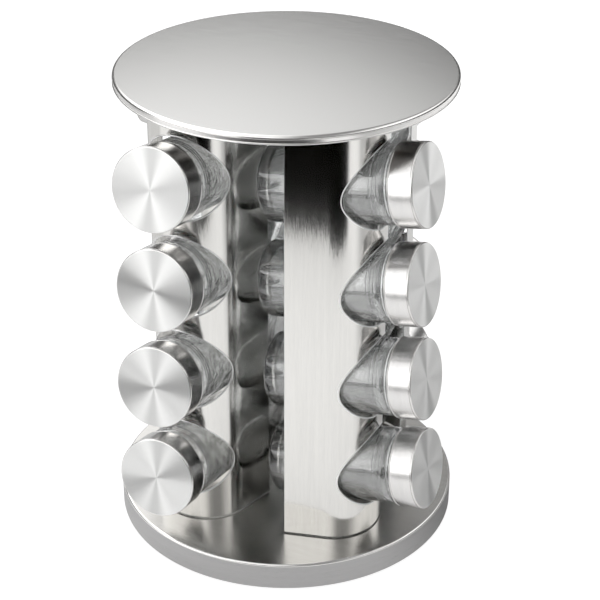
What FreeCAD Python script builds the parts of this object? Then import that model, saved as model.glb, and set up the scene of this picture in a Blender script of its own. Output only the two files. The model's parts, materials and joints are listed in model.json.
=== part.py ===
"""Revolving countertop spice rack: four bent-sheet towers between two round pans, sixteen screw-cap jars.

The row frame stands on the table: the origin is on the turning axis at table height and +Z is up.
Tower a has its nose towards +X; towers b, c and d follow it counter-clockwise in quarter turns.
Rows are numbered from the top down. All lengths are millimetres and all angles are degrees.
"""
import FreeCAD, Part
import math
import os
from FreeCAD import Placement, Rotation, Vector

# ---- driving dimensions ------------------------------------------------------------------------

OVERALL_HEIGHT = 278.5        # table to the flat top
SHEET = 0.8                   # stainless sheet of the towers, pans and cover
FLOOR_GAP = 2.0               # table to the lower edge of the base pan

TOP_RADIUS = 95.0             # top cover and the pan under it
TOP_COVER_SIDE = 1.7          # flat top down to the lower edge of the cover
TOP_EDGE_BEVEL = 1.0
SEAM = 0.3                    # open line between the cover and the pan under it
TOP_PAN_BAND = 1.95           # side of the top pan between the seam and its lip
TOP_LIP = 0.55                # the lip stands out from the band by this much
TOP_LIP_HEIGHT = 1.1

BASE_RADIUS = 100.4
BASE_HEIGHT = 16.4            # lower edge to the top face of the base pan
BASE_EDGE_BEVEL = 1.0
BASE_HEM = 1.2                # width and height of the folded lower edge

TOWER_COUNT = 4
ROW_COUNT = 4
ROW_PITCH = 58.7
TOWER_OFFSET = 30.5           # each tower and its jars stand this far beside the turning axis
NOSE_RADIUS = 27.9            # outside of the rounded front of a tower
NOSE_CENTRE = 44.8            # from the turning axis to the centre of that radius
FLANK_SPLAY = 14.2            # each flank opens outwards to the rear by this angle
FLANK_LENGTH = 23.3
BORE_CLEARANCE = 2.2          # radial gap between a jar and its hole

JAR_TILT = 10.0               # cap end up
JAR_LENGTH = 92.0             # rear of the glass to the face of the cap
JAR_RADIUS = 21.8
REAR_AXIS_U = 6.4             # rear centre of a jar that is pushed home, measured along its tower
TOP_ROW_FACE_HEIGHT = 240.2   # cap face centre of the top row, pushed home, above the table
# How far each jar stands out from its stop, by row, for towers a, b, c and d.
STANDS_OUT = (
    (0.0, 0.0, 3.5, 6.5),
    (2.0, 9.0, 1.0, 4.0),
    (3.5, 0.5, 6.5, 2.0),
    (3.0, 3.5, 7.5, 9.0),
)

# glass, measured from the rear of the jar along its axis
GLASS_WALL = 2.4
GLASS_FLOOR = 4.0
PUSH_UP = 1.4                 # hollow under the jar
PUSH_UP_RADIUS = 14.0
HEEL_BEVEL = 2.0
INNER_HEEL_BEVEL = 3.0
INNER_SHOULDER_START = 70.0
SHOULDER_START = 71.5
SHOULDER_END = 74.6
NECK_BEAD_END = 77.2
NECK_BEAD_RADIUS = 21.2
NECK_RADIUS = 19.6
MOUTH_RADIUS = 16.5
RIM_POSITION = 90.2
RIM_BEVEL = 0.7
GLASS_THREAD = 86.4
THREAD_HALF_WIDTH = 1.0
THREAD_HEIGHT = 0.9

# cap
CAP_RADIUS = 23.1
CAP_HEIGHT = 14.5
CAP_CHAMFER = 0.7
CAP_SHEET = 0.7
CAP_LINER_RADIUS = 20.9       # inside of the liner, clear of the glass thread
CAP_THREAD = 83.9             # catches behind the glass thread
CAP_THREAD_HEIGHT = 1.0
LINER_SET_BACK = 1.0          # liner stands this far inside the open edge

# sifter insert in the mouth
SIFTER_THICKNESS = 0.9
SIFTER_GAP = 0.1
SIFTER_FLANGE_RADIUS = 18.6
SIFTER_SKIRT_RADIUS = 16.4
SIFTER_WALL = 1.0
SIFTER_DEPTH = 6.0
SIFTER_HOLE_RADIUS = 1.6
SIFTER_RING_RADIUS = 8.0
SIFTER_RING_HOLES = 6

# tabs and fasteners at both ends of each tower
TAB_FRONT = 44.0
TAB_REAR = 32.0
TAB_REACH = 19.5              # inner end of a tab, from the tower's middle plane
SCREW_U = 38.0
SCREW_SIDE = 24.0             # from the tower's middle plane
SCREW_RADIUS = 1.5
SCREW_HOLE_RADIUS = 1.7
SCREW_HEAD_RADIUS = 2.8
SCREW_HEAD_HEIGHT = 1.9
SCREW_HEAD_BEVEL = 0.6
NUT_ACROSS_FLATS = 5.5
NUT_HEIGHT = 2.2
SCREW_END_BEYOND_NUT = 0.5
RACE_SCREW_DEPTH = 6.5        # inner screws also hold the bearing ring

# turntable under the base pan
FOOT_PLATE_RADIUS = 66.0
FOOT_PLATE_BOTTOM = 1.5
FOOT_PLATE_THICKNESS = 2.5
FOOT_RIM_HEIGHT = 1.6
FOOT_RIM_WIDTH = 2.0
RUBBER_FOOT_COUNT = 6
RUBBER_FOOT_RADIUS = 6.0
RUBBER_FOOT_CIRCLE = 57.5
RUBBER_FOOT_HEIGHT = 2.3
RUBBER_FOOT_BEVEL = 0.4
BALL_CIRCLE = 47.0
BALL_RADIUS = 2.5
BALL_COUNT = 16
GROOVE_CLEARANCE = 0.06
CAGE_HALF_WIDTH = 4.6
CAGE_THICKNESS = 1.4
POCKET_CLEARANCE = -0.15      # the cage rings grip the balls lightly
RACE_GAP = 2.4                # foot plate to bearing ring
RACE_PLATE_THICKNESS = 3.0
RACE_OUTER_RADIUS = 53.0
RACE_WALL_INNER = 34.0
RACE_WALL_OUTER = 43.0
RACE_WEB_THICKNESS = 2.2
PIVOT_RADIUS = 8.0
PIVOT_FIT = 0.06              # running fit of the pivot in the bearing ring
PIVOT_BOSS_RADIUS = 12.0
PIVOT_BOSS_HEIGHT = 5.6
PIVOT_HEAD_RADIUS = 9.4
PIVOT_HEAD_THICKNESS = 1.2
PIVOT_HEAD_GAP = 0.2
PIVOT_BORE_RADIUS = 5.0       # the snap pivot is hollow

# ---- worked-out positions ----------------------------------------------------------------------

TOWER_LETTERS = "abcd"
FULL_TURN = 360.0
EIGHTH_TURN = FULL_TURN / 8
QUARTER = FULL_TURN / TOWER_COUNT
ORIGIN = Vector(0, 0, 0)
UP = Vector(0, 0, 1)
DOWN = Vector(0, 0, -1)
JAR_AXIS = Vector(1, 0, 0)

BASE_TOP = FLOOR_GAP + BASE_HEIGHT
BASE_UNDERSIDE = BASE_TOP - SHEET
COVER_UNDERSIDE = OVERALL_HEIGHT - SHEET
SEAM_TOP = OVERALL_HEIGHT - TOP_COVER_SIDE
SEAM_BOTTOM = SEAM_TOP - SEAM
TOP_PAN_UNDERSIDE = SEAM_BOTTOM - TOP_PAN_BAND - TOP_LIP_HEIGHT
TOP_PAN_FLOOR = TOP_PAN_UNDERSIDE + SHEET
FOOT_PLATE_TOP = FOOT_PLATE_BOTTOM + FOOT_PLATE_THICKNESS
RACE_BOTTOM = FOOT_PLATE_TOP + RACE_GAP
BALL_CENTRE_HEIGHT = FOOT_PLATE_TOP + RACE_GAP / 2


def xz(x, z):
    """A point in the X-Z plane."""
    return Vector(x, 0, z)


def inside_bevel(bevel):
    """The bevel on the inside of a sheet corner that keeps the sheet's thickness under an outer bevel."""
    return bevel - SHEET * (2 - math.sqrt(2))


def outline(start, *steps):
    """A closed wire. Each step is a point to run straight to, or a (through, end) pair for an arc."""
    edges = []
    here = start
    for step in steps:
        if isinstance(step, tuple):
            through, end = step
            edges.append(Part.Arc(here, through, end).toShape())
        else:
            end = step
            edges.append(Part.LineSegment(here, end).toShape())
        here = end
    edges.append(Part.LineSegment(here, start).toShape())
    return Part.Wire(edges)


def turned(wire, axis):
    """The solid swept by a closed outline in the X-Z plane around an axis through the origin."""
    return Part.Face(wire).revolve(ORIGIN, axis, FULL_TURN)


def tube(outer, inner, bottom, top):
    """An upright ring between two heights."""
    ring = Part.makeCylinder(outer, top - bottom, Vector(0, 0, bottom))
    return ring.cut(Part.makeCylinder(inner, top - bottom, Vector(0, 0, bottom)))


def around(shape, count):
    """Copies of a shape in equal steps around the turning axis."""
    copies = []
    for step in range(count):
        copy = shape.copy()
        copy.rotate(ORIGIN, UP, step * FULL_TURN / count)
        copies.append(copy)
    return copies


# ---- jars --------------------------------------------------------------------------------------

def ridge(position, base_radius, height):
    """Steps for a thread, modelled as one plain ridge that rises from base_radius by height."""
    return (
        xz(position - THREAD_HALF_WIDTH, base_radius),
        xz(position, base_radius + height),
        xz(position + THREAD_HALF_WIDTH, base_radius),
    )


def glass_jar():
    """Thick-walled jar lying along +X with its rear at x = 0."""
    inner_radius = JAR_RADIUS - GLASS_WALL
    return turned(outline(
        xz(PUSH_UP, 0),
        xz(0, PUSH_UP_RADIUS),
        xz(0, JAR_RADIUS - HEEL_BEVEL),
        xz(HEEL_BEVEL, JAR_RADIUS),
        xz(SHOULDER_START, JAR_RADIUS),
        xz(SHOULDER_END, NECK_BEAD_RADIUS),
        xz(NECK_BEAD_END, NECK_BEAD_RADIUS),
        xz(NECK_BEAD_END, NECK_RADIUS),
        *ridge(GLASS_THREAD, NECK_RADIUS, THREAD_HEIGHT),
        xz(RIM_POSITION - RIM_BEVEL, NECK_RADIUS),
        xz(RIM_POSITION, NECK_RADIUS - RIM_BEVEL),
        xz(RIM_POSITION, MOUTH_RADIUS),
        xz(NECK_BEAD_END, MOUTH_RADIUS),
        xz(INNER_SHOULDER_START, inner_radius),
        xz(GLASS_FLOOR + INNER_HEEL_BEVEL, inner_radius),
        xz(GLASS_FLOOR, inner_radius - INNER_HEEL_BEVEL),
        xz(GLASS_FLOOR, 0),
    ), JAR_AXIS)


def sifter():
    """Shaker insert: a holed disc over the mouth with a skirt down inside the neck."""
    under = RIM_POSITION + SIFTER_GAP
    profile = outline(
        xz(under + SIFTER_THICKNESS, 0),
        xz(under + SIFTER_THICKNESS, SIFTER_FLANGE_RADIUS),
        xz(under, SIFTER_FLANGE_RADIUS),
        xz(under, SIFTER_SKIRT_RADIUS),
        xz(under - SIFTER_DEPTH, SIFTER_SKIRT_RADIUS),
        xz(under - SIFTER_DEPTH, SIFTER_SKIRT_RADIUS - SIFTER_WALL),
        xz(under, SIFTER_SKIRT_RADIUS - SIFTER_WALL),
        xz(under, 0),
    )
    insert = turned(profile, JAR_AXIS)
    hole = Part.makeCylinder(SIFTER_HOLE_RADIUS, SIFTER_DEPTH, xz(under - SIFTER_DEPTH / 2, 0), JAR_AXIS)
    insert = insert.cut(hole)
    for step in range(SIFTER_RING_HOLES):
        outer_hole = hole.copy()
        outer_hole.translate(Vector(0, 0, SIFTER_RING_RADIUS))
        outer_hole.rotate(ORIGIN, JAR_AXIS, step * FULL_TURN / SIFTER_RING_HOLES)
        insert = insert.cut(outer_hole)
    return insert


def cap():
    """Screw cap: a drawn steel shell with its threaded liner bonded inside."""
    open_edge = JAR_LENGTH - CAP_HEIGHT
    inner_face = JAR_LENGTH - CAP_SHEET
    liner_edge = open_edge + LINER_SET_BACK
    return turned(outline(
        xz(JAR_LENGTH, 0),
        xz(JAR_LENGTH, CAP_RADIUS - CAP_CHAMFER),
        xz(JAR_LENGTH - CAP_CHAMFER, CAP_RADIUS),
        xz(open_edge, CAP_RADIUS),
        xz(open_edge, CAP_RADIUS - CAP_SHEET),
        xz(liner_edge, CAP_RADIUS - CAP_SHEET),
        xz(liner_edge, CAP_LINER_RADIUS),
        *ridge(CAP_THREAD, CAP_LINER_RADIUS, -CAP_THREAD_HEIGHT),
        xz(inner_face, CAP_LINER_RADIUS),
        xz(inner_face, 0),
    ), JAR_AXIS)


def jar_placement(tower, row):
    """Where a jar lies, from its own frame to the rack's."""
    face_height = TOP_ROW_FACE_HEIGHT - ROW_PITCH * row
    tilt = math.radians(JAR_TILT)
    out = STANDS_OUT[tower][row]
    rear = Vector(REAR_AXIS_U + out * math.cos(tilt), -TOWER_OFFSET,
                  face_height - (JAR_LENGTH - out) * math.sin(tilt))
    tilted = Placement(rear, Rotation(Vector(0, 1, 0), -JAR_TILT))
    return Placement(ORIGIN, Rotation(UP, tower * QUARTER)).multiply(tilted)


# ---- towers ------------------------------------------------------------------------------------

def flank_side(u):
    """Distance of a flank's outer face from the tower's middle plane, at u along the tower."""
    lean = math.radians(FLANK_SPLAY)
    start_u = NOSE_CENTRE + NOSE_RADIUS * math.sin(lean)
    return NOSE_RADIUS * math.cos(lean) + (start_u - u) * math.tan(lean)


def channel_section(height):
    """The bent sheet seen from above, as a face at a height: a round nose and two splayed flanks."""
    lean = math.radians(FLANK_SPLAY)
    inner_radius = NOSE_RADIUS - SHEET

    def tangent_point(radius, side):
        return Vector(NOSE_CENTRE + radius * math.sin(lean), side * radius * math.cos(lean), height)

    def free_edge(radius, side):
        back = Vector(-math.cos(lean), side * math.sin(lean), 0) * FLANK_LENGTH
        return tangent_point(radius, side) + back

    wire = outline(
        free_edge(NOSE_RADIUS, -1),
        tangent_point(NOSE_RADIUS, -1),
        (Vector(NOSE_CENTRE + NOSE_RADIUS, 0, height), tangent_point(NOSE_RADIUS, 1)),
        free_edge(NOSE_RADIUS, 1),
        free_edge(inner_radius, 1),
        tangent_point(inner_radius, 1),
        (Vector(NOSE_CENTRE + inner_radius, 0, height), tangent_point(inner_radius, -1)),
        free_edge(inner_radius, -1),
    )
    return Part.Face(wire)


def tab(side, bottom):
    """A tab bent inwards from one flank, with its screw hole."""
    in_sheet = SHEET / 2
    corners = [
        Vector(TAB_REAR, side * (flank_side(TAB_REAR) - in_sheet), bottom),
        Vector(TAB_REAR, side * TAB_REACH, bottom),
        Vector(TAB_FRONT, side * TAB_REACH, bottom),
        Vector(TAB_FRONT, side * (flank_side(TAB_FRONT) - in_sheet), bottom),
    ]
    plate = Part.Face(outline(*corners)).extrude(UP * SHEET)
    hole = Part.makeCylinder(SCREW_HOLE_RADIUS, SHEET, Vector(SCREW_U, side * SCREW_SIDE, bottom))
    return plate.cut(hole)


def tower(index):
    """One tower with its tabs, and its jar holes cut square to the tilted jars."""
    body = channel_section(BASE_TOP).extrude(UP * (TOP_PAN_UNDERSIDE - BASE_TOP))
    for bottom in (BASE_TOP, TOP_PAN_UNDERSIDE - SHEET):
        for side in (-1, 1):
            body = body.fuse(tab(side, bottom))
    body = body.removeSplitter()
    body.translate(Vector(0, -TOWER_OFFSET, 0))
    body.rotate(ORIGIN, UP, index * QUARTER)
    for row in range(ROW_COUNT):
        bore = Part.makeCylinder(JAR_RADIUS + BORE_CLEARANCE, JAR_LENGTH, ORIGIN, JAR_AXIS)
        bore.Placement = jar_placement(index, row)
        body = body.cut(bore)
    return body


# ---- pans and cover ----------------------------------------------------------------------------

def screw_places():
    """Centres of the tab screws: (side, point on the row's X-Y plane) for every tower."""
    places = []
    for index in range(TOWER_COUNT):
        for side in (-1, 1):
            point = Vector(SCREW_U, side * SCREW_SIDE - TOWER_OFFSET, 0)
            places.append((side, Rotation(UP, index * QUARTER).multVec(point)))
    return places


def drilled(shape, bottom, top):
    """The shape with a clearance hole for every tab screw."""
    for _, place in screw_places():
        shape = shape.cut(Part.makeCylinder(SCREW_HOLE_RADIUS, top - bottom, place + UP * bottom))
    return shape


def top_cover():
    """Flat lid with a bevelled rim."""
    inner_radius = TOP_RADIUS - SHEET
    inner_bevel = inside_bevel(TOP_EDGE_BEVEL)
    return turned(outline(
        xz(0, OVERALL_HEIGHT),
        xz(TOP_RADIUS - TOP_EDGE_BEVEL, OVERALL_HEIGHT),
        xz(TOP_RADIUS, OVERALL_HEIGHT - TOP_EDGE_BEVEL),
        xz(TOP_RADIUS, SEAM_TOP),
        xz(inner_radius, SEAM_TOP),
        xz(inner_radius, COVER_UNDERSIDE - inner_bevel),
        xz(inner_radius - inner_bevel, COVER_UNDERSIDE),
        xz(0, COVER_UNDERSIDE),
    ), UP)


def top_pan():
    """Shallow pan under the cover: a band with a lower lip, and a step up inside the cover."""
    step_outer = TOP_RADIUS - SHEET - inside_bevel(TOP_EDGE_BEVEL)
    step_inner = step_outer - SHEET
    band_radius = TOP_RADIUS - TOP_LIP
    lip_top = TOP_PAN_UNDERSIDE + TOP_LIP_HEIGHT
    pan = turned(outline(
        xz(0, TOP_PAN_FLOOR),
        xz(step_inner, TOP_PAN_FLOOR),
        xz(step_inner, COVER_UNDERSIDE),
        xz(step_outer, COVER_UNDERSIDE),
        xz(step_outer, SEAM_BOTTOM),
        xz(band_radius, SEAM_BOTTOM),
        xz(band_radius, lip_top),
        xz(TOP_RADIUS, lip_top),
        xz(TOP_RADIUS, TOP_PAN_UNDERSIDE),
        xz(0, TOP_PAN_UNDERSIDE),
    ), UP)
    return drilled(pan, TOP_PAN_UNDERSIDE, TOP_PAN_FLOOR)


def base_pan():
    """Pan, open underneath, with a bevelled upper edge and a folded lower hem."""
    wall_inner = BASE_RADIUS - SHEET
    inner_bevel = inside_bevel(BASE_EDGE_BEVEL)
    hem_top = FLOOR_GAP + BASE_HEM
    pan = turned(outline(
        xz(0, BASE_TOP),
        xz(BASE_RADIUS - BASE_EDGE_BEVEL, BASE_TOP),
        xz(BASE_RADIUS, BASE_TOP - BASE_EDGE_BEVEL),
        xz(BASE_RADIUS, FLOOR_GAP),
        xz(BASE_RADIUS - BASE_HEM, FLOOR_GAP),
        xz(BASE_RADIUS - BASE_HEM, hem_top),
        xz(wall_inner, hem_top),
        xz(wall_inner, BASE_UNDERSIDE - inner_bevel),
        xz(wall_inner - inner_bevel, BASE_UNDERSIDE),
        xz(0, BASE_UNDERSIDE),
    ), UP)
    return drilled(pan, BASE_UNDERSIDE, BASE_TOP)


# ---- fasteners ---------------------------------------------------------------------------------

def screw(seat, length, direction):
    """A pan-head screw: its head sits on the seat and its shank runs along the direction."""
    profile = outline(
        xz(0, SCREW_HEAD_HEIGHT),
        xz(SCREW_HEAD_RADIUS - SCREW_HEAD_BEVEL, SCREW_HEAD_HEIGHT),
        xz(SCREW_HEAD_RADIUS, SCREW_HEAD_HEIGHT - SCREW_HEAD_BEVEL),
        xz(SCREW_HEAD_RADIUS, 0),
        xz(SCREW_RADIUS, 0),
        xz(SCREW_RADIUS, -length),
        xz(0, -length),
    )
    solid = turned(profile, UP)
    if direction.z > 0:
        solid.rotate(ORIGIN, JAR_AXIS, FULL_TURN / 2)
    solid.translate(seat)
    return solid


def nut(bottom):
    """A hexagon nut around a screw that stands on the given point."""
    corner = NUT_ACROSS_FLATS / math.sqrt(3)
    sides = 6
    points = [bottom + Rotation(UP, side * FULL_TURN / sides).multVec(Vector(corner, 0, 0))
              for side in range(sides)]
    body = Part.Face(outline(*points)).extrude(UP * NUT_HEIGHT)
    return body.cut(Part.makeCylinder(SCREW_RADIUS, NUT_HEIGHT, bottom))


def tower_fasteners():
    """Screws through every tab. The inner lower ones run into the bearing ring; the others have nuts."""
    nutted = SHEET * 2 + NUT_HEIGHT + SCREW_END_BEYOND_NUT
    pieces = []
    for side, place in screw_places():
        holds_ring = side > 0
        lower_length = SHEET * 2 + RACE_SCREW_DEPTH if holds_ring else nutted
        pieces.append(screw(place + UP * (BASE_TOP + SHEET), lower_length, DOWN))
        if not holds_ring:
            pieces.append(nut(place + UP * (BASE_UNDERSIDE - NUT_HEIGHT)))
        pieces.append(screw(place + UP * (TOP_PAN_UNDERSIDE - SHEET), nutted, UP))
        pieces.append(nut(place + UP * TOP_PAN_FLOOR))
    return Part.makeCompound(pieces)


# ---- turntable ---------------------------------------------------------------------------------

def ball_groove():
    """The ring-shaped space in which the balls roll; its section is a regular octagon around a ball."""
    flat = BALL_RADIUS + GROOVE_CLEARANCE
    half_side = flat * math.tan(math.radians(EIGHTH_TURN / 2))
    corners = [(half_side, flat), (flat, half_side), (flat, -half_side), (half_side, -flat)]
    corners += [(-x, z) for x, z in reversed(corners)]
    return turned(outline(*[xz(BALL_CIRCLE + x, BALL_CENTRE_HEIGHT + z) for x, z in corners]), UP)


def bearing_ring():
    """Upper race under the base pan: grooved plate, ring wall, web and bored boss."""
    race_top = RACE_BOTTOM + RACE_PLATE_THICKNESS
    ring = tube(RACE_OUTER_RADIUS, RACE_WALL_INNER, RACE_BOTTOM, race_top)
    ring = ring.fuse(tube(RACE_WALL_OUTER, RACE_WALL_INNER, RACE_BOTTOM, BASE_UNDERSIDE))
    bore = PIVOT_RADIUS + PIVOT_FIT
    ring = ring.fuse(tube(RACE_WALL_INNER, bore, RACE_BOTTOM, RACE_BOTTOM + RACE_WEB_THICKNESS))
    ring = ring.fuse(tube(PIVOT_BOSS_RADIUS, bore, RACE_BOTTOM, RACE_BOTTOM + PIVOT_BOSS_HEIGHT))
    ring = ring.cut(ball_groove())
    for side, place in screw_places():
        if side > 0:
            pilot = place + UP * (BASE_UNDERSIDE - RACE_SCREW_DEPTH)
            ring = ring.cut(Part.makeCylinder(SCREW_RADIUS, RACE_SCREW_DEPTH, pilot))
    return ring.removeSplitter()


def ball_cage():
    """Flat ring with the balls in its pockets."""
    half = CAGE_THICKNESS / 2
    cage = tube(BALL_CIRCLE + CAGE_HALF_WIDTH, BALL_CIRCLE - CAGE_HALF_WIDTH,
                BALL_CENTRE_HEIGHT - half, BALL_CENTRE_HEIGHT + half)
    centre = Vector(BALL_CIRCLE, 0, BALL_CENTRE_HEIGHT)
    for pocket in around(Part.makeSphere(BALL_RADIUS + POCKET_CLEARANCE, centre), BALL_COUNT):
        cage = cage.cut(pocket)
    return Part.makeCompound([cage] + around(Part.makeSphere(BALL_RADIUS, centre), BALL_COUNT))


def foot_places():
    """Centres of the rubber feet."""
    return [Rotation(UP, step * FULL_TURN / RUBBER_FOOT_COUNT).multVec(Vector(RUBBER_FOOT_CIRCLE, 0, 0))
            for step in range(RUBBER_FOOT_COUNT)]


def foot_plate():
    """Standing plate: lower ball groove, raised rim, sockets for the feet and a hollow snap pivot."""
    plate = Part.makeCylinder(FOOT_PLATE_RADIUS, FOOT_PLATE_THICKNESS, Vector(0, 0, FOOT_PLATE_BOTTOM))
    plate = plate.fuse(tube(FOOT_PLATE_RADIUS, FOOT_PLATE_RADIUS - FOOT_RIM_WIDTH,
                            FOOT_PLATE_TOP, FOOT_PLATE_TOP + FOOT_RIM_HEIGHT))
    head_bottom = RACE_BOTTOM + PIVOT_BOSS_HEIGHT + PIVOT_HEAD_GAP
    head_top = head_bottom + PIVOT_HEAD_THICKNESS
    plate = plate.fuse(tube(PIVOT_RADIUS, PIVOT_BORE_RADIUS, FOOT_PLATE_TOP, head_top))
    plate = plate.fuse(tube(PIVOT_HEAD_RADIUS, PIVOT_BORE_RADIUS, head_bottom, head_top))
    plate = plate.cut(ball_groove())
    for place in foot_places():
        plate = plate.cut(Part.makeCylinder(RUBBER_FOOT_RADIUS, RUBBER_FOOT_HEIGHT, place))
    return plate.removeSplitter()


def rubber_feet():
    """Round pads in the sockets of the foot plate."""
    profile = outline(
        xz(0, 0),
        xz(RUBBER_FOOT_RADIUS - RUBBER_FOOT_BEVEL, 0),
        xz(RUBBER_FOOT_RADIUS, RUBBER_FOOT_BEVEL),
        xz(RUBBER_FOOT_RADIUS, RUBBER_FOOT_HEIGHT),
        xz(0, RUBBER_FOOT_HEIGHT),
    )
    pads = []
    for place in foot_places():
        pad = turned(profile, UP)
        pad.translate(place)
        pads.append(pad)
    return Part.makeCompound(pads)


# ---- the whole rack ----------------------------------------------------------------------------

def rack():
    """Every node of the rack by name."""
    nodes = {
        "top_cover": top_cover(),
        "top_pan": top_pan(),
        "base_pan": base_pan(),
        "tower_fasteners": tower_fasteners(),
        "bearing_ring": bearing_ring(),
        "ball_cage": ball_cage(),
        "foot_plate": foot_plate(),
        "rubber_feet": rubber_feet(),
    }
    jar_pieces = {"glass_jar": glass_jar(), "sifter": sifter(), "cap": cap()}
    for index, letter in enumerate(TOWER_LETTERS):
        nodes["tower_" + letter] = tower(index)
        for row in range(ROW_COUNT):
            for name, piece in jar_pieces.items():
                placed = piece.copy()
                placed.Placement = jar_placement(index, row)
                nodes[f"{name}_{letter}{row + 1}"] = placed
    return nodes


os.makedirs("parts", exist_ok=True)
for node_name, shape in rack().items():
    shape.exportStep(f"parts/{node_name}.step")
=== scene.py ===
"""Looks of the revolving spice rack: steel, clear jars, a pale studio and the camera."""
import json
import math

import bmesh
import bpy
from mathutils import Matrix, Vector, noise


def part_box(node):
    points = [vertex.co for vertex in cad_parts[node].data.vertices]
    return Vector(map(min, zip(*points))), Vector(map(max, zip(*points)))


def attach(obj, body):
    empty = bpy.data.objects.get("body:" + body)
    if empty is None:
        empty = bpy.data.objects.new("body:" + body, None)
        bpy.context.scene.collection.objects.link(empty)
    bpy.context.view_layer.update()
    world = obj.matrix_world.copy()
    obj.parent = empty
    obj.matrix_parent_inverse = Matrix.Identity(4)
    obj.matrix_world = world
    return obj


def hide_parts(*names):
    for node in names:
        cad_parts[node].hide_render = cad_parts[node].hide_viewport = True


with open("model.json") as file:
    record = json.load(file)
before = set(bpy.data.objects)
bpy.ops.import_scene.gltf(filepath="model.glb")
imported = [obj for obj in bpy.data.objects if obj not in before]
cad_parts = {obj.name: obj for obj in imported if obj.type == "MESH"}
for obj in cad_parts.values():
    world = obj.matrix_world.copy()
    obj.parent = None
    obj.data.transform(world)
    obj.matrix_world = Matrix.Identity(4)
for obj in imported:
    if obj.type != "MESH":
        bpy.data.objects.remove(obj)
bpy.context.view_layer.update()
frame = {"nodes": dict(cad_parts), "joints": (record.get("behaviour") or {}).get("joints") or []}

MM = 0.001
UP = Vector((0, 0, 1))

# ---- sizes of the rack, in millimetres ---------------------------------------------------------

SHEET = 0.8                   # thickness of the pans and towers
RIM = 1.7                     # rounding of the cover's edge
BASE_RIM = 1.3                # rounding of the base pan's edge
OVERALL_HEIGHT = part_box("top_cover")[1].z / MM
TOP_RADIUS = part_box("top_cover")[1].x / MM
BASE_RADIUS = 100.4
BASE_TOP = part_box("base_pan")[1].z / MM
BASE_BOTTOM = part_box("base_pan")[0].z / MM
TOP_PAN_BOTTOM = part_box("top_pan")[0].z / MM

NOSE_RADIUS = 27.9            # outside of a tower's rounded nose
NOSE_CENTRE = 44.8            # of that rounding, out from the turning axis
TOWER_OFFSET = 30.5           # of a tower's middle, beside the turning axis
FLANK_SPLAY = math.radians(14.2)
FLANK_LENGTH = 23.3
HOLE_RADIUS = 24.0
LIP_RADIUS = 0.55             # lip round each hole, a little proud of the sheet
LIP_PAINTED_SHADE = (0.17, 0.60)       # the lip's inner side, painted dark as shade, as shares of its round
FOOT_GAP = 1.0                # dark line between a tower and the base pan

JAR_LENGTH = 92.0
JAR_RADIUS = 21.8
CAP_RADIUS = 23.0
CAP_HEIGHT = 14.5
CAP_SET_BACK = 0.12           # keeps the rounded cap inside the frame's bevelled one

# ---- fineness of the meshes --------------------------------------------------------------------

PAN_SEGMENTS, CAP_SEGMENTS, JAR_SEGMENTS, HOLE_SEGMENTS = 256, 160, 128, 160
FLAT_RING = 1.0               # width in mm of the last flat ring inside a rounded edge
STEP = 0.05                   # shortest step in mm in a turned profile
SHARP_ANGLE = math.radians(35)        # edges bent more than this stay sharp

# ---- camera, as fitted to the photograph -------------------------------------------------------

CAMERA_AZIMUTH = math.radians(25.44)
CAMERA_PITCH = math.radians(28.54)
CAMERA_DISTANCE = 0.8871      # in metres from the turning axis, along the floor
CAMERA_HEIGHT = 0.617         # in metres
CAMERA_LENS = 103.7           # lens and sensor in mm
CAMERA_SENSOR = 36.0
CAMERA_SHIFT_X = 0.0227
CAMERA_CLIP_START = 0.01      # in metres

JARS = [letter + str(row) for letter in "abcd" for row in (1, 2, 3, 4)]
JOINTS = {joint["name"]: joint for joint in frame["joints"]}


# ---- node helpers ------------------------------------------------------------------------------

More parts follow.
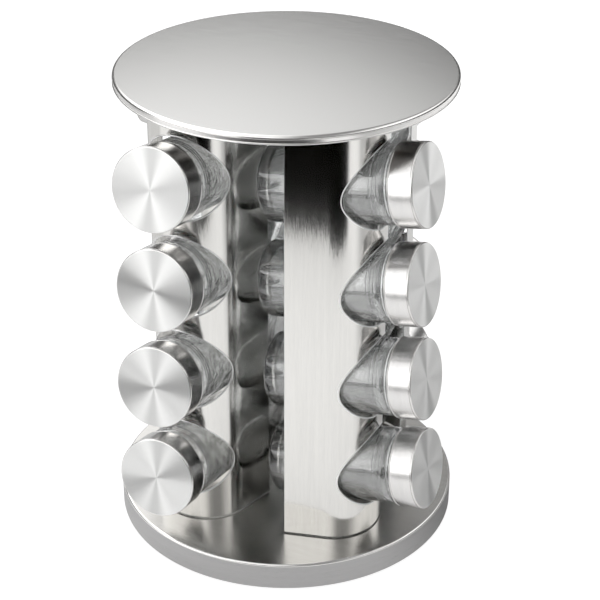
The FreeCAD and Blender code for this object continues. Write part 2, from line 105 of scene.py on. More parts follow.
class Nodes:
    """Short ways to add and join shader nodes in one tree."""

    def __init__(self, tree):
        self.tree = tree
        tree.nodes.clear()

    def add(self, kind, inputs=None, **settings):
        node = self.tree.nodes.new("ShaderNode" + kind)
        for name, value in settings.items():
            setattr(node, name, value)
        for name, value in (inputs or {}).items():
            self.feed(node, name, value)
        return node

    def feed(self, node, name, value):
        if isinstance(value, bpy.types.NodeSocket):
            self.tree.links.new(value, node.inputs[name])
        else:
            node.inputs[name].default_value = value

    def math(self, operation, a, b=0.0):
        return self.add("Math", {0: a, 1: b}, operation=operation).outputs[0]

    def times(self, a, b):
        return self.math("MULTIPLY", a, b)

    def spread(self, value, low, high, to_low=0.0, to_high=1.0, smooth=False):
        """The value carried from low..high to to_low..to_high, and held at the ends."""
        kind = "SMOOTHSTEP" if smooth else "LINEAR"
        node = self.add("MapRange", {"Value": value, "From Min": low, "From Max": high,
                                     "To Min": to_low, "To Max": to_high},
                        interpolation_type=kind)
        return node.outputs["Result"]

    def mix(self, share, a, b):
        node = self.add("Mix", {0: share, 6: a, 7: b}, data_type="RGBA")
        return node.outputs[2]

    def reach(self, direction, coordinates="Object"):
        """How far a point lies along the direction."""
        place = self.add("TexCoord").outputs[coordinates]
        node = self.add("VectorMath", {0: place, 1: direction}, operation="DOT_PRODUCT")
        return node.outputs["Value"]

    def grain(self, scale, detail=2.0, roughness=0.5):
        """Noise stretched by the scale, in cycles per metre along each of the object's axes."""
        place = self.add("TexCoord").outputs["Object"]
        mapped = self.add("Mapping", {"Vector": place, "Scale": scale}).outputs[0]
        node = self.add("TexNoise", {"Vector": mapped, "Scale": 1.0, "Detail": detail,
                                     "Roughness": roughness})
        return node.outputs[0]

    def lean(self, value, tilt):
        """The surface normal leaned along a direction by a value around one half."""
        normal = self.add("NewGeometry").outputs["Normal"]
        amount = self.math("SUBTRACT", value, 0.5)
        offset = self.add("VectorMath", {0: tilt, "Scale": amount}, operation="SCALE").outputs[0]
        moved = self.add("VectorMath", {0: normal, 1: offset}, operation="ADD").outputs[0]
        return self.add("VectorMath", {0: moved}, operation="NORMALIZE").outputs[0]

    def turned_tangent(self):
        """Direction round the object's own Z, along which a brushed highlight stretches."""
        return self.add("Tangent", direction_type="RADIAL", axis="Z").outputs[0]

    def finish(self, shader):
        self.add("OutputMaterial", {"Surface": shader.outputs[0]})


def material(name):
    made = bpy.data.materials.new(name)
    made.use_nodes = True
    return made, Nodes(made.node_tree)


def scaled(color, factor):
    """The colour made darker or lighter, with full alpha."""
    return [min(1, c * factor) for c in color] + [1]


# Middle parts of a noise's range, spread over the whole range of roughness and of tone.
ROUGH_SPAN = (0.3, 0.7)
TONE_SPAN = (0.35, 0.65)


def steel(name, color, roughness, spread, anisotropy, grain, tilt=(0, 0, 0), tone=0.04,
          metallic=1.0):
    """Brushed steel: grain streaks vary roughness and tone and lean the surface a little.

    color is the metal's own; roughness its mean; spread how far the streaks move it;
    grain the streaks' cycles per metre along x, y and z; tilt how far they lean the surface
    along each axis; tone how far they move the colour; metallic is below 1 where a torn edge
    scatters light.
    """
    made, n = material(name)
    fine_share = 0.6
    broad_scale = 0.13        # of the fine streaks' cycles per metre
    fine = n.grain(grain, detail=3.0, roughness=0.6)
    broad = n.grain([g * broad_scale for g in grain])
    both = n.math("ADD", n.times(fine, fine_share), n.times(broad, 1 - fine_share))
    rough = n.spread(both, *ROUGH_SPAN, roughness - spread, roughness + spread)
    shade = n.mix(n.spread(both, *TONE_SPAN), scaled(color, 1 - tone), scaled(color, 1 + tone))
    inputs = {"Base Color": shade, "Metallic": metallic, "Roughness": rough,
              "Anisotropic": anisotropy, "Tangent": n.turned_tangent()}
    if any(tilt):
        inputs["Normal"] = n.lean(fine, tilt)
    n.finish(n.add("BsdfPrincipled", inputs))
    return made


def turned_face_steel(name, color, roughness):
    """Cap face with fine concentric cuts, so highlights open into wedges from the centre, and a
    painted reflection that darkens its colour in wedges about its local y axis.
    """
    made, n = material(name)
    cuts_per_metre = 2600.0
    centre = 0.0004           # metres from the axis within which the wedges close
    painted_wedge_tone = 0.72         # painted reflection: of the face's brightness, where a wedge is darkest
    painted_wedge_width = (0.05, 0.40)
    cut_tone = 0.95
    cut_spread = 0.03
    x, y, _ = n.add("SeparateXYZ", {0: n.add("TexCoord").outputs["Object"]}).outputs
    flat = n.add("CombineXYZ", {0: x, 1: y}).outputs[0]
    radius = n.add("VectorMath", {0: flat}, operation="LENGTH").outputs["Value"]
    ring = n.add("CombineXYZ", {0: n.times(radius, cuts_per_metre)}).outputs[0]
    cuts = n.add("TexNoise", {"Vector": ring, "Scale": 1.0, "Detail": 3.0}).outputs[0]
    # Painted reflection: the colour darkens in wedges about the face's local y axis.
    upright = n.math("DIVIDE", n.math("ABSOLUTE", x), n.math("MAXIMUM", radius, centre))
    painted_wedge = n.spread(upright, *painted_wedge_width, painted_wedge_tone, 1.0, smooth=True)
    grey = n.add("CombineXYZ", {0: painted_wedge, 1: painted_wedge, 2: painted_wedge}).outputs[0]
    shade = n.mix(n.spread(cuts, *TONE_SPAN), scaled(color, cut_tone), scaled(color, 1))
    shade = n.add("Mix", {0: 1.0, 6: shade, 7: grey}, data_type="RGBA",
                  blend_type="MULTIPLY").outputs[2]
    n.finish(n.add("BsdfPrincipled", {
        "Base Color": shade, "Metallic": 1.0, "Anisotropic": 1.0, "Anisotropic Rotation": 0.25,
        "Roughness": n.spread(cuts, *ROUGH_SPAN, roughness - cut_spread, roughness + cut_spread),
        "Tangent": n.turned_tangent()}))
    return made


def glass(name):
    """Clear pressed glass: uneven all over, with finer waves along the jar under a clean gloss."""
    made, n = material(name)
    fine_share = 0.9
    wave_height = 0.00028
    uneven = n.grain((420, 420, 420), detail=3.0, roughness=0.55)
    waves = n.grain((1100, 1100, 260))
    relief = n.add("Bump", {"Strength": 1.0, "Distance": wave_height,
                            "Height": n.math("ADD", uneven, n.times(waves, fine_share))})
    n.finish(n.add("BsdfPrincipled", {
        "Base Color": (0.97, 0.98, 0.978, 1), "Roughness": 0.0, "IOR": 1.5,
        "Specular IOR Level": 0.9, "Transmission Weight": 1.0, "Coat Weight": 1.0,
        "Coat IOR": 1.95, "Coat Roughness": 0.0, "Normal": relief.outputs[0]}))
    return made


def moulded(name, color, roughness, subsurface=0.0):
    """Moulded plastic or rubber with a fine pebbled skin."""
    made, n = material(name)
    pebbles_per_metre = 900.0
    pebble_height = 0.00002
    pebble_spread = 0.08
    pebble_tone = 0.9
    pebble = n.grain((pebbles_per_metre,) * 3, detail=4.0)
    relief = n.add("Bump", {"Strength": 0.5, "Distance": pebble_height, "Height": pebble})
    rough = n.spread(pebble, *ROUGH_SPAN, roughness - pebble_spread, roughness + pebble_spread)
    shade = n.mix(n.spread(pebble, *TONE_SPAN), scaled(color, pebble_tone), scaled(color, 1))
    n.finish(n.add("BsdfPrincipled", {
        "Base Color": shade, "Roughness": rough, "Subsurface Weight": subsurface,
        "Subsurface Scale": 0.002, "Normal": relief.outputs[0]}))
    return made


TOWER_STEEL = steel("tower_steel", (0.815, 0.805, 0.78), roughness=0.125, spread=0.01,
                    anisotropy=0.75, grain=(5000, 5000, 160), tilt=(0.006, 0.006, 0.035))
INNER_STEEL = steel("tower_inner_steel", (0.60, 0.595, 0.59), roughness=0.10, spread=0.02,
                    anisotropy=0.5, grain=(700, 700, 90), tone=0.45)
EDGE_STEEL = steel("cut_edge_steel", (0.99, 0.99, 0.98), roughness=0.20, spread=0.02,
                   anisotropy=0.0, grain=(2500, 2500, 2500), metallic=0.7)
# Painted shade: near-black steel for the lip's inner side, standing in for the shade inside each
# hole.
LIP_SHADE_STEEL = steel("lip_painted_shade_steel", (0.07, 0.068, 0.065), roughness=0.35, spread=0.05, anisotropy=0.0,
                  grain=(2500, 2500, 2500))
# Painted shade: dark steel for all of the top pan but its rim band, where shade falls under the
# cover.
UNDER_SHADE_STEEL = steel("underside_painted_shade_steel", (0.16, 0.155, 0.15), roughness=0.30, spread=0.03, anisotropy=0.0,
                    grain=(500, 500, 500))
COVER_STEEL = steel("cover_steel", (0.80, 0.795, 0.78), roughness=0.16, spread=0.02, anisotropy=0.0,
                    grain=(500, 2600, 500), tone=0.03)
RIM_STEEL = steel("rim_steel", (0.87, 0.86, 0.845), roughness=0.20, spread=0.01, anisotropy=0.0,
                  grain=(400, 400, 2400), tone=0.01)
BASE_STEEL = steel("base_steel", (0.60, 0.59, 0.57), roughness=0.22, spread=0.03, anisotropy=0.3,
                   grain=(60, 2200, 60))
# Painted shade: a darker copy of the base pan's steel for its side wall, standing in for the shaded
# table it reflects; its sideways brushing is real.
WALL_SHADE_STEEL = steel("wall_painted_shade_steel", (0.45, 0.445, 0.445), roughness=0.30, spread=0.04, anisotropy=0.5,
                   grain=(200, 200, 2600))
FACE_STEEL_PAINTED_WEDGES = turned_face_steel("cap_face_steel_painted_wedges", (0.90, 0.90, 0.89), roughness=0.36)
SIDE_STEEL = steel("cap_side_steel", (0.82, 0.81, 0.80), roughness=0.22, spread=0.015,
                   anisotropy=0.6, grain=(120, 120, 2400))
CLEAR_GLASS = glass("clear_glass")
SIFTER_PLASTIC = moulded("sifter_plastic", (0.80, 0.80, 0.78), roughness=0.4, subsurface=0.2)
TURNTABLE_PLASTIC = moulded("turntable_plastic", (0.022, 0.022, 0.023), roughness=0.45)
CAGE_PLASTIC = moulded("cage_plastic", (0.75, 0.75, 0.72), roughness=0.3)
RUBBER = moulded("rubber", (0.02, 0.02, 0.02), roughness=0.8)
SCREW_STEEL = steel("screw_steel", (0.72, 0.72, 0.72), roughness=0.28, spread=0.05, anisotropy=0.0,
                    grain=(1500, 1500, 1500))


# ---- mesh helpers ------------------------------------------------------------------------------

def arc(centre_r, centre_z, radius, start, end, steps=8):
    """Points of an arc in the (radius, height) plane; angles in degrees from +radius."""
    points = []
    for i in range(steps + 1):
        a = math.radians(start + (end - start) * i / steps)
        points.append((centre_r + radius * math.cos(a), centre_z + radius * math.sin(a)))
    return points


def run(start, end, steps):
    """Evenly spaced points from start to end, without the start."""
    return [(start[0] + (end[0] - start[0]) * i / steps, start[1] + (end[1] - start[1]) * i / steps)
            for i in range(1, steps + 1)]


def lathe(name, profile, segments, wobble=None):
    """A closed solid turned around Z from a profile of (radius, height) in mm, pole to pole."""
    mesh = bmesh.new()
    rings = []
    for radius, height in profile:
        if radius == 0:
            rings.append([mesh.verts.new((0, 0, height * MM))])
            continue
        ring = []
        for i in range(segments):
            a = 2 * math.pi * i / segments
            r = radius + (wobble(radius, height, a) if wobble else 0.0)
            ring.append(mesh.verts.new((r * MM * math.cos(a), r * MM * math.sin(a), height * MM)))
        rings.append(ring)
    for low, high in zip(rings, rings[1:]):
        for i in range(segments):
            j = (i + 1) % segments
            if len(low) == 1:
                corners = (low[0], high[i], high[j])
            elif len(high) == 1:
                corners = (low[i], high[0], low[j])
            else:
                corners = (low[i], high[i], high[j], low[j])
            mesh.faces.new(corners)
    bmesh.ops.recalc_face_normals(mesh, faces=mesh.faces)
    return finish_mesh(name, mesh)


def finish_mesh(name, mesh):
    """An object from the mesh, smooth except at its sharp edges."""
    data = bpy.data.meshes.new(name)
    mesh.to_mesh(data)
    mesh.free()
    data.shade_smooth()
    data.set_sharp_from_angle(angle=SHARP_ANGLE)
    made = bpy.data.objects.new(name, data)
    bpy.context.scene.collection.objects.link(made)
    return made


def weigh_normals(obj):
    """Flat faces stay flat right up to their rounded edges."""
    modifier = obj.modifiers.new("weighted_normals", "WEIGHTED_NORMAL")
    modifier.keep_sharp = True
    modifier.weight = 100


def paint(obj, base, *rules):
    """Material by face: each rule is (material, test of a face's centre in mm and its normal)."""
    obj.data.materials.append(base)
    for made, _ in rules:
        obj.data.materials.append(made)
    for face in obj.data.polygons:
        for index, (_, test) in enumerate(rules):
            if test(face.center / MM, face.normal):
                face.material_index = index + 1


def dress(obj, body, slot, *nodes):
    """A finished piece rides on its body and stands for its CAD nodes."""
    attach(obj, body)
    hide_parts(*nodes)


def along(axis):
    """Rotation that takes Z to the axis."""
    return axis.to_track_quat("Z", "Y").to_matrix().to_4x4()


# ---- pans and cover ----------------------------------------------------------------------------

def top_edge(radius, high, rounding):
    """Profile from the pole along a flat top and round its edge."""
    centre = radius - rounding
    return ([(0, high)] + run((0, high), (centre - FLAT_RING, high), 6) + [(centre - STEP, high)]
            + arc(centre, high - rounding, rounding, 90, 0, 12))


def top_inside(radius, high, rounding):
    """Profile of the inside of that edge and back to the pole."""
    return arc(radius - rounding, high - rounding, rounding - SHEET, 0, 90, 6) + [(0, high - SHEET)]


def from_axis(point):
    return math.hypot(point.x, point.y)


def make_top_cover():
    profile = top_edge(TOP_RADIUS, OVERALL_HEIGHT, RIM)
    profile += top_inside(TOP_RADIUS, OVERALL_HEIGHT, RIM)
    cover = lathe("top_cover_shell", profile, PAN_SEGMENTS)
    rim_start = TOP_RADIUS - RIM - 4 * STEP
    paint(cover, COVER_STEEL, (RIM_STEEL, lambda c, n: from_axis(c) > rim_start))
    weigh_normals(cover)
    dress(cover, "carousel", "satin_steel", "top_cover")


def make_top_pan():
    bead = 0.55               # radius of the rolled lower lip
    bead_centre = TOP_RADIUS - bead
    band_inset = 0.4          # of the plain band, behind the lip's outermost line
    seam = OVERALL_HEIGHT - 2.0
    seam_round = 0.25
    seam_edge = bead_centre - 0.1
    underside = bead_centre - 1.5         # radius at which the flat underside starts
    low = TOP_PAN_BOTTOM
    step = TOP_RADIUS - RIM
    inner = step - SHEET
    band = TOP_RADIUS - band_inset
    profile = [(0, low + SHEET), (inner - FLAT_RING, low + SHEET), (inner, low + SHEET)]
    profile += [(inner, OVERALL_HEIGHT - SHEET), (step, OVERALL_HEIGHT - SHEET), (step, seam)]
    profile += arc(seam_edge, seam - seam_round, seam_round, 90, 0, 4)
    profile += run((band, seam - seam_round), (band, low + 2 * bead), 3)
    profile += arc(bead_centre, low + bead, bead, 75, -90, 12)
    profile += [(underside, low), (0, low)]
    pan = lathe("top_pan_shell", profile, PAN_SEGMENTS)
    # All but the rim band is the painted shade steel.
    paint(pan, UNDER_SHADE_STEEL, (RIM_STEEL, lambda c, n: from_axis(c) > step + 2 * STEP))
    weigh_normals(pan)
    dress(pan, "carousel", "satin_steel", "top_pan")


def make_base_pan():
    hem = 0.6                 # radius of the rolled lower edge
    hem_centre = BASE_RADIUS - hem
    wall = BASE_RADIUS - SHEET
    high = BASE_TOP
    low = BASE_BOTTOM
    edge_start = high - BASE_RIM
    profile = top_edge(BASE_RADIUS, high, BASE_RIM)
    profile += run((BASE_RADIUS, edge_start), (BASE_RADIUS, low + hem), 4)
    profile += arc(hem_centre, low + hem, hem, -8, -180, 12)
    profile += [(hem_centre - hem, low + 2 * hem), (wall, low + 2 * hem), (wall, edge_start)]
    profile += top_inside(BASE_RADIUS, high, BASE_RIM)
    pan = lathe("base_pan_shell", profile, PAN_SEGMENTS)
    margin = 2 * STEP
    rim_start = BASE_RADIUS - BASE_RIM - margin

    def on_rim(c, n):
        return from_axis(c) > rim_start and c.z > edge_start - margin and n.z > 0

    # The side wall gets the painted shade steel.
    paint(pan, BASE_STEEL, (WALL_SHADE_STEEL, lambda c, n: abs(n.z) < 0.5), (RIM_STEEL, on_rim))
    weigh_normals(pan)
    dress(pan, "carousel", "base_steel", "base_pan")


# ---- towers ------------------------------------------------------------------------------------
# A tower's own frame has u out through the nose and v across it, with v = 0 in the tower's middle.

NOSE_LIMIT = math.pi / 2 - FLANK_SPLAY     # from the nose's middle to where it meets a flank
OUTER_FACE, INNER_FACE, CUT_EDGE, PAINTED_SHADE_LIP = range(4)      # a tower's material slots


def section_line(radius, steps=72):
    """One face of a tower's bent sheet seen from above: (u, v) from flank edge to flank edge."""
    points = []
    for i in range(steps + 1):
        a = -NOSE_LIMIT + 2 * NOSE_LIMIT * i / steps
        points.append((NOSE_CENTRE + radius * math.cos(a), radius * math.sin(a)))
    back = (-math.cos(FLANK_SPLAY) * FLANK_LENGTH, math.sin(FLANK_SPLAY) * FLANK_LENGTH)
    first = (points[0][0] + back[0], points[0][1] - back[1])
    last = (points[-1][0] + back[0], points[-1][1] + back[1])
    return [first] + points + [last]


def sheet_normal(u, v):
    """Outward normal of the bent sheet at a point near it, in the tower's own frame."""
    angle = max(-NOSE_LIMIT, min(NOSE_LIMIT, math.atan2(v, u - NOSE_CENTRE)))
    return Vector((math.cos(angle), math.sin(angle), 0))


def round_end(outer, inner, steps=6):
    """Points of the half-round free edge of a flank, from its outer to its inner face."""
    middle = ((outer[0] + inner[0]) / 2, (outer[1] + inner[1]) / 2)
    across = ((outer[0] - inner[0]) / 2, (outer[1] - inner[1]) / 2)
    beyond = (-abs(across[1]), across[0] * math.copysign(1, outer[1]))
    points = []
    for i in range(1, steps):
        a = math.pi * i / steps
        points.append((middle[0] + across[0] * math.cos(a) + beyond[0] * math.sin(a),
                       middle[1] + across[1] * math.cos(a) + beyond[1] * math.sin(a)))
    return points


def tower_blank(low, high):
    """A tower's bent sheet without its holes."""
    outer = section_line(NOSE_RADIUS)
    inner = section_line(NOSE_RADIUS - SHEET)
    last_end = round_end(outer[-1], inner[-1])
    first_end = round_end(outer[0], inner[0])[::-1]
    loop = outer + last_end + inner[::-1] + first_end
    mesh = bmesh.new()
    bottom = [mesh.verts.new((u * MM, (v - TOWER_OFFSET) * MM, low * MM)) for u, v in loop]
    top = [mesh.verts.new((u * MM, (v - TOWER_OFFSET) * MM, high * MM)) for u, v in loop]
    half = len(outer)
    inner_last = half + len(last_end)
    inner_first = inner_last + half - 1
    for i in range(len(loop)):
        j = (i + 1) % len(loop)
        mesh.faces.new((bottom[i], bottom[j], top[j], top[i]))
    for ring in (bottom, top):
        for i in range(half - 1):
            mesh.faces.new((ring[i], ring[i + 1], ring[inner_first - i - 1], ring[inner_first - i]))
        mesh.faces.new(ring[half - 1:inner_last + 1])
        mesh.faces.new([ring[0]] + ring[inner_first:])
    bmesh.ops.recalc_face_normals(mesh, faces=mesh.faces)
    return finish_mesh("tower_blank", mesh)


def cylinder_cutter(face, axis, radius, length):
    """A rod along the axis that ends at the face point."""
    mesh = bmesh.new()
    bmesh.ops.create_cone(mesh, cap_ends=True, segments=HOLE_SEGMENTS, radius1=radius * MM,
                          radius2=radius * MM, depth=length * MM)
    rod = finish_mesh("cutter", mesh)
    rod.matrix_world = Matrix.Translation(face - axis * (length / 2 * MM)) @ along(axis)
    return rod


def baked(obj):
    """The object's mesh with its modifiers applied, as a new mesh."""
    bpy.context.view_layer.update()
    graph = bpy.context.evaluated_depsgraph_get()
    return bpy.data.meshes.new_from_object(obj.evaluated_get(graph), depsgraph=graph)


def jar_frame(name):
    """Face centre and outward axis of one jar's cap, from the cap's joint."""
    joint = JOINTS[f"cap_{name}_unscrew"]
    return Vector(joint["pos_m"]), Vector(joint["axis"]).normalized()


def hole_lip(face, tilt, turn, around=144, across=10):
    """Lip of one hole as a thin closed tube: its points, faces, point normals and face finishes."""
    radius = HOLE_RADIUS + SHEET / 2
    middle = NOSE_RADIUS - SHEET / 2
    centre = []
    for i in range(around):
        a = 2 * math.pi * i / around
        v = radius * math.sin(a)
        u = NOSE_CENTRE + math.sqrt(middle ** 2 - v ** 2)
        slide = (u - face.x + radius * math.cos(a) * math.sin(tilt)) / math.cos(tilt)
        z = face.z + radius * math.cos(a) * math.cos(tilt) + slide * math.sin(tilt)
        centre.append(Vector((u, v, z)))
    points, normals, faces, finishes = [], [], [], []
    for i, here in enumerate(centre):
        ahead = (centre[(i + 1) % around] - centre[i - 1]).normalized()
        outward = sheet_normal(here.x, here.y)
        inward = outward.cross(ahead)
        for j in range(across):
            b = 2 * math.pi * j / across
            normal = outward * math.cos(b) + inward * math.sin(b)
            place = here + normal * LIP_RADIUS
            points.append(turn @ (Vector((place.x, place.y - TOWER_OFFSET, place.z)) * MM))
            normals.append(turn.to_3x3() @ normal)
            i2, j2 = (i + 1) % around, (j + 1) % across
            faces.append((i * across + j, i2 * across + j, i2 * across + j2, i * across + j2))
            # The lip's inner side is painted shade.
            dark = LIP_PAINTED_SHADE[0] < (j + 0.5) / across < LIP_PAINTED_SHADE[1]
            finishes.append(PAINTED_SHADE_LIP if dark else CUT_EDGE)
    return points, faces, normals, finishes


def make_tower(index, letter):
    """Cuts the four holes in a bent sheet, adds their lips and gives every face its true normal."""
    blank = tower_blank(BASE_TOP + FOOT_GAP, TOP_PAN_BOTTOM)
    turn = Matrix.Rotation(index * math.pi / 2, 4, "Z")
    back = turn.inverted()
    blank.data.transform(turn)
    lips = []
    for row in (1, 2, 3, 4):
        face, axis = jar_frame(f"{letter}{row}")
        rod = cylinder_cutter(face, axis, HOLE_RADIUS + SHEET / 2, JAR_LENGTH)
        modifier = blank.modifiers.new("hole", "BOOLEAN")
        modifier.object = rod
        modifier.solver = "EXACT"
        blank.data = baked(blank)
        blank.modifiers.clear()
        bpy.data.objects.remove(rod)
        lips.append(hole_lip(back @ face / MM, math.asin(axis.z), turn))

    points = [v.co.copy() for v in blank.data.vertices]
    faces = [tuple(face.vertices) for face in blank.data.polygons]
    normals, finishes = [], []
    for face in blank.data.polygons:
        centre = back @ face.center / MM
        outward = turn.to_3x3() @ sheet_normal(centre.x, centre.y + TOWER_OFFSET)
        side = face.normal.dot(outward)
        cut = abs(side) < 0.9     # faces neither out nor in, so it is the sheet's edge
        finishes.append(CUT_EDGE if cut else OUTER_FACE if side > 0 else INNER_FACE)
        for corner in face.vertices:
            if cut:
                normals.append(face.normal.copy())
                continue
            place = back @ blank.data.vertices[corner].co / MM
            normal = turn.to_3x3() @ sheet_normal(place.x, place.y + TOWER_OFFSET)
            normals.append(normal if side > 0 else -normal)
    for lip_points, lip_faces, lip_normals, lip_finishes in lips:
        first = len(points)
        points += lip_points
        for corners in lip_faces:
            faces.append(tuple(first + c for c in corners))
            normals += [lip_normals[c] for c in corners]
        finishes += lip_finishes
    bpy.data.objects.remove(blank)

    data = bpy.data.meshes.new(f"tower_{letter}_sheet")
    data.from_pydata(points, [], faces)
    data.shade_smooth()
    for made in (TOWER_STEEL, INNER_STEEL, EDGE_STEEL, LIP_SHADE_STEEL):
        data.materials.append(made)
    for face, finish in zip(data.polygons, finishes):
        face.material_index = finish
    data.normals_split_custom_set(normals)
    tower = bpy.data.objects.new(f"tower_{letter}_sheet", data)
    bpy.context.scene.collection.objects.link(tower)
    dress(tower, "carousel", "tower_steel", f"tower_{letter}")


# ---- jars and caps -----------------------------------------------------------------------------

def glass_profile():
    """Jar profile in mm, with height 0 at the cap's face and the rear of the jar below it."""
    def z(t):
        return t - JAR_LENGTH
    body = JAR_RADIUS
    inner = body - 2.4        # inside of the glass wall
    neck = 19.6
    mouth = 16.5              # inside of the neck
    rim = 89.4                # height of the mouth, where its rounding starts
    lip = 0.8                 # that rounding
    groove_depth = 0.25
    # hollow underside, heel and body
    profile = [(0, z(1.4)), (5, z(1.3)), (10, z(0.75)), (14, z(0.1)), (15.5, z(0.0)),
               (18.8, z(0.0))]
    profile += arc(18.8, z(3.0), 3.0, -90, 0, 10)
    profile += run((body, z(3.0)), (body, z(66.0)), 36)
    for groove in (67.0, 69.2, 71.2):
        profile += [(body, z(groove - 0.5)), (body - groove_depth, z(groove - 0.2)),
                    (body - groove_depth, z(groove + 0.2)), (body, z(groove + 0.5))]
    # shoulder, collar and neck with its threads
    profile += [(21.72, z(72.6)), (21.4, z(73.6)), (20.9, z(74.3)), (20.5, z(74.6))]
    profile += arc(20.4, z(75.9), 1.2, -75, 75, 8)
    profile += [(20.2, z(77.2)), (neck, z(77.3)), (neck, z(80.4))]
    for thread in (81.4, 86.4):
        profile += [(neck, z(thread - 1)), (neck + 0.7, z(thread - 0.5)), (neck + 0.9, z(thread)),
                    (neck + 0.7, z(thread + 0.5)), (neck, z(thread + 1))]
    # rounded mouth, inside of the shoulder and body, and the bottom
    profile += arc(neck - lip, z(rim), lip, 0, 90, 5)
    profile += arc(mouth + lip, z(rim), lip, 90, 180, 5)
    profile += run((mouth, z(rim)), (mouth, z(77.2)), 4)
    profile += [(16.8, z(75.6)), (17.6, z(73.8)), (18.6, z(72.0)), (19.2, z(70.4)),
                (inner, z(68.6))]
    profile += run((inner, z(68.6)), (inner, z(9.0)), 40)
    profile += arc(inner - 5, z(9.0), 5.0, 0, -90, 10)
    profile += [(9, z(4.1)), (4, z(4.4)), (0, z(4.5))]
    return profile


def glass_wobble(seed):
    """Uneven inside of pressed glass: a few tenths of a millimetre, different in every jar."""
    broad, fine, finer = 0.45, 0.22, 3.1      # heights of two waves in mm, the second finer
    waves_round, wave_length, next_jar = 1.6, 14, 7.3

    def wobble(radius, height, angle):
        inside = 10 < radius < 20 and height <= -14
        if not inside or (radius > 19.5 and height > -20):
            return 0.0
        place = Vector((math.cos(angle) * waves_round, math.sin(angle) * waves_round,
                        height / wave_length + seed * next_jar))
        return broad * noise.noise(place) + fine * noise.noise(place * finer)
    return wobble


def cap_profile():
    """Cap profile in mm: face, rounded edge, groove, plain side, hem and the liner inside."""
    shell = 0.8               # thickness at the hem
    edge = 0.75               # rounding of the face's edge
    hem = 0.4                 # radius of the rolled open edge
    groove = CAP_RADIUS - 0.4
    liner_side = 20.9
    liner_face = -0.7
    low = -CAP_HEIGHT
    side_top = -edge - 0.65
    hem_top = low + 2 * hem
    profile = [(0, 0)] + run((0, 0), (CAP_RADIUS - edge - 0.6, 0), 10)
    profile += arc(CAP_RADIUS - edge, -edge, edge, 90, 0, 8)
    profile += [(groove, -edge - 0.1), (groove, -edge - 0.55), (CAP_RADIUS, side_top)]
    profile += run((CAP_RADIUS, side_top), (CAP_RADIUS, hem_top + 0.5), 4)
    profile += [(CAP_RADIUS - 0.12, hem_top + 0.2)]
    profile += arc(CAP_RADIUS - hem, low + hem, hem, 60, -180, 10)
    profile += [(CAP_RADIUS - shell, low + 1.0), (liner_side, low + 1.0), (liner_side, liner_face),
                (0, liner_face)]
    return profile


def make_jar(name, seed):
    """One jar and its cap, both with their own Z along the jar and height 0 at the cap's face."""
    face, axis = jar_frame(name)
    place = Matrix.Translation(face) @ along(axis)
    jar = lathe(f"glass_jar_{name}_clear", glass_profile(), JAR_SEGMENTS, glass_wobble(seed))
    jar.data.materials.append(CLEAR_GLASS)
    jar.matrix_world = place
    dress(jar, f"jar_{name}", "clear_glass", f"glass_jar_{name}")
    cap = lathe(f"cap_{name}_shell", cap_profile(), CAP_SEGMENTS)
    paint(cap, SIDE_STEEL, (FACE_STEEL_PAINTED_WEDGES, lambda c, n: n.z > 0.99 and c.z > -0.1))
    weigh_normals(cap)
    cap.matrix_world = place @ Matrix.Translation((0, 0, -CAP_SET_BACK * MM))
    dress(cap, f"cap_{name}", "cap_steel", f"cap_{name}")


# ---- carried-over CAD nodes --------------------------------------------------------------------

def finish_nodes():
    """Materials for the CAD nodes that are kept as they are."""
    finishes = {"bearing_ring": TURNTABLE_PLASTIC, "foot_plate": TURNTABLE_PLASTIC,
                "ball_cage": CAGE_PLASTIC, "rubber_feet": RUBBER, "tower_fasteners": SCREW_STEEL}
    finishes.update({f"sifter_{name}": SIFTER_PLASTIC for name in JARS})
    for name, made in finishes.items():
        data = frame["nodes"][name].data
        data.materials.clear()
        data.materials.append(made)


# ---- studio ------------------------------------------------------------------------------------

def toward_camera():
    return Vector((math.sin(CAMERA_AZIMUTH), -math.cos(CAMERA_AZIMUTH), 0))


def camera_right():
    return Vector((math.cos(CAMERA_AZIMUTH), math.sin(CAMERA_AZIMUTH), 0))


def stage_panel(name, made, corners):
    """A flat stage piece from corners in metres: to the camera's right, towards it, and up."""
    mesh = bmesh.new()
    for side, front, up in corners:
        mesh.verts.new(camera_right() * side + toward_camera() * front + UP * up)
    mesh.faces.new(mesh.verts)
    panel = finish_mesh(name, mesh)
    panel.data.materials.append(made)
    return panel


def lit_board(name, tone, make_glow):
    """Matt board of one grey with a glow of its own, which make_glow builds in its nodes."""
    made, n = material(name)
    matt = n.add("BsdfDiffuse", {"Color": (tone, tone, tone, 1)})
    light = n.add("Emission", {"Strength": make_glow(n)})
    n.finish(n.add("AddShader", {0: matt.outputs[0], 1: light.outputs[0]}))
    return made


def table_glow(n):
    """Glow painted by place: bright in front and to the left, a painted shadow dim behind the rack,
    bright again far off.
    """
    front = n.reach(toward_camera())
    away = n.reach(camera_right() * 0.77 - toward_camera() * 0.64)
    near_glow = n.spread(front, -0.03, 0.06, 0.15, 0.44, smooth=True)
    far_glow = n.spread(away, 0.20, 1.00, 0.0, 0.60)
    return n.spread(away, -0.02, 0.10, near_glow, far_glow, smooth=True)


def board_glow(n):
    """Black ahead of the rack, grey far out to the left."""
    return n.spread(n.reach(camera_right()), -0.55, -0.25, 0.32, 0.0, smooth=True)


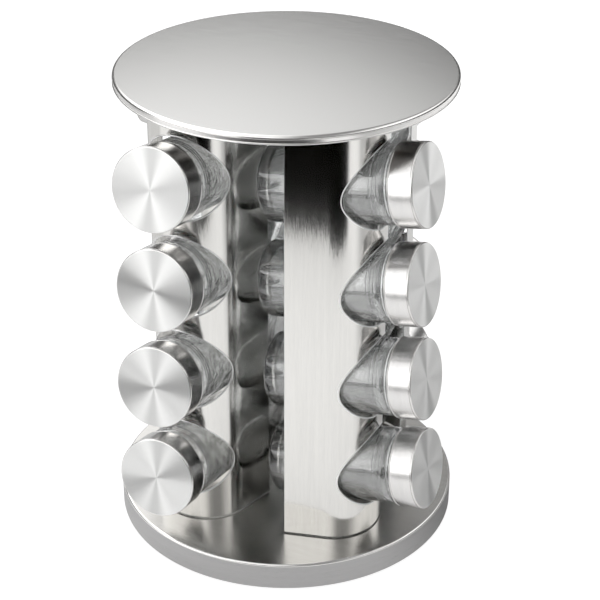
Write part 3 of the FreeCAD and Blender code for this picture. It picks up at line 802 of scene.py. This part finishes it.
def make_floor():
    """Pale table with a dark board along its front edge, and the plain floor the camera sees."""
    front = 0.475
    open_side = 0.20          # right of here the table runs on towards the camera
    open_slant = 0.25
    low = -0.0005             # table, just under the seen floor
    wide = 3.0
    board_front = front + 0.03
    board_foot, board_top = -0.5, 0.11
    table = stage_panel("table", lit_board("table_white", 0.6, table_glow), [
        (-wide, front, low), (open_side, front, low), (open_side + open_slant, wide, low),
        (wide, wide, low), (wide, -wide, low), (-wide, -wide, low)])
    board = stage_panel("board", lit_board("board_black", 0.01, board_glow), [
        (-wide, board_front, board_foot), (open_side, board_front, board_foot),
        (open_side, board_front, board_top), (-wide, board_front, board_top)])
    for panel in (table, board):
        panel.visible_camera = False

    reach = 6.0
    floor_glow = 0.90
    floor = stage_panel("floor", lit_board("floor_white", 0.30, lambda n: floor_glow), [
        (-reach, -reach, 0), (reach, -reach, 0), (reach, reach, 0), (-reach, reach, 0)])
    floor.visible_glossy = False
    floor.visible_diffuse = False
    floor.visible_shadow = False


# The surroundings are painted by direction: side, ahead and height say how far a unit direction
# points to the camera's right, towards the camera and up. Each pair of numbers is where a change
# starts and ends.

def light_before_rack(n, side, height):
    """Bright screen to the left, dim round the camera, ceiling with a gap, and dark ground."""
    screen_edge, gap_start, gap_end = (-0.60, -0.40), (-0.10, 0.12), (0.45, 0.75)
    ceiling_edge, zenith, ground_edge = (0.34, 0.44), (0.44, 0.75), (-0.50, -0.45)
    screen = n.spread(side, *screen_edge, 2.25, 0.18, smooth=True)
    across = n.spread(side, *gap_end, n.spread(side, *gap_start, 1.3, 0.34), 1.3)
    ceiling = n.times(n.spread(height, *zenith, 1.7, 1.0), across)
    light = n.spread(height, *ceiling_edge, screen, ceiling, smooth=True)
    return n.times(light, n.spread(height, *ground_edge, 0.01, 1.0))


def light_behind_rack(n, side, height):
    """Grey band under a bright wall that falls off to the right, over black ground."""
    wall_foot, wall_top = (0.324, 0.360), (0.40, 0.50)
    middle, right_wing, horizon = (-0.10, 0.10), (0.35, 0.60), (-0.03, 0.0)
    tilt, curve, most = 0.10, 1.9, 0.05       # of the wall's foot, which rises to the sides
    bow = n.math("ADD", n.times(side, tilt), n.times(n.times(side, side), curve))
    raised = n.math("SUBTRACT", height, n.math("MINIMUM", bow, most))
    wall = n.spread(raised, *wall_foot, 0.13, 1.27, smooth=True)
    left_end = n.spread(height, *wall_top, 1.10, 1.70)
    right_end = n.spread(height, *wall_top, 0.90, n.spread(side, *right_wing, 0.25, 1.30))
    light = n.times(wall, n.spread(side, *middle, left_end, right_end))
    return n.times(light, n.spread(height, *horizon))


def make_world():
    """The studio's light by direction, behind a plain white backdrop that only the camera sees."""
    world = bpy.data.worlds.new("studio")
    bpy.context.scene.world = world
    world.use_nodes = True
    n = Nodes(world.node_tree)
    axes = (camera_right(), toward_camera(), UP)
    side, ahead, height = (n.reach(axis, "Generated") for axis in axes)
    share = n.spread(ahead, -0.25, 0.25, smooth=True)
    sky = n.math("ADD", n.times(light_before_rack(n, side, height), share),
                 n.times(light_behind_rack(n, side, height), n.math("SUBTRACT", 1.0, share)))
    backdrop_glow = 1.1
    seen = n.add("LightPath").outputs["Is Camera Ray"]
    studio = n.add("Background", {"Strength": sky})
    backdrop = n.add("Background", {"Color": (1, 1, 1, 1), "Strength": backdrop_glow})
    both = n.add("MixShader", {0: seen, 1: studio.outputs[0], 2: backdrop.outputs[0]})
    n.add("OutputWorld", {"Surface": both.outputs[0]})


def make_grade():
    """Plain display transform with a slightly raised black point, for a catalogue's contrast."""
    black = 0.010
    view = bpy.context.scene.view_settings
    view.view_transform = "Standard"
    view.use_curve_mapping = True
    view.curve_mapping.black_level = (black, black, black)
    view.curve_mapping.update()


def make_camera():
    camera = bpy.data.objects.new("camera", bpy.data.cameras.new("camera"))
    bpy.context.scene.collection.objects.link(camera)
    camera.location = toward_camera() * CAMERA_DISTANCE + UP * CAMERA_HEIGHT
    camera.rotation_euler = (math.pi / 2 - CAMERA_PITCH, 0, CAMERA_AZIMUTH)
    camera.data.lens = CAMERA_LENS
    camera.data.sensor_width = CAMERA_SENSOR
    camera.data.shift_x = CAMERA_SHIFT_X
    camera.data.clip_start = CAMERA_CLIP_START
    bpy.context.scene.camera = camera


make_camera()
make_world()
make_floor()
make_top_cover()
make_top_pan()
make_base_pan()
for tower_index, tower_letter in enumerate("abcd"):
    make_tower(tower_index, tower_letter)
for jar_index, jar_name in enumerate(JARS):
    make_jar(jar_name, jar_index)
finish_nodes()
make_grade()
